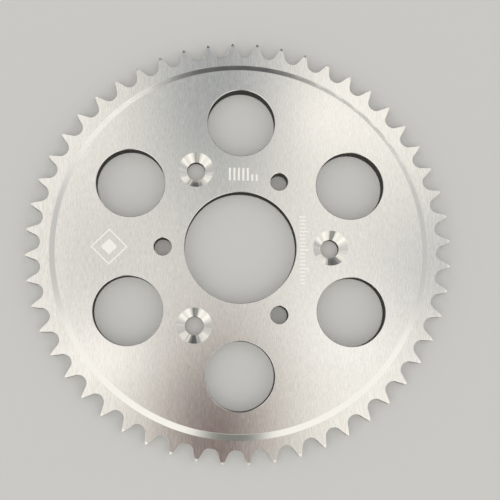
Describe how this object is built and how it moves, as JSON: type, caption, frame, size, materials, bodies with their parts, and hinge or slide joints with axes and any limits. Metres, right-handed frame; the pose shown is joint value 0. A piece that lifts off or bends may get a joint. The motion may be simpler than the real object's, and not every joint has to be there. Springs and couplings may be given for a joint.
{
  "type": "rear sprocket",
  "caption": "Flat one-piece aluminium rear sprocket: toothed outer ring, thicker inner disc with a sloping step, large centre bore, round lightening holes, plain and countersunk bolt holes.",
  "frame": {"origin": "centre of the bore on the back face, the flat face that lies against the wheel hub", "axes": "+Z along the wheel axis towards the front face, the side with the step and the countersinks; seen from the front, +X is right and +Y is up, with a plain bolt hole on the left, at 180 degrees, and a countersunk hole on the right, at 0 degrees"},
  "size_m": [0.2174, 0.2174, 0.008],
  "materials": {
    "brushed_plate": "straight-grained brushed aluminium, clear satin, with turned countersinks and light laser-etched marks"
  },
  "bodies": {
    "root": {"sprocket_plate": "brushed_plate"}
  },
  "joints": []
}
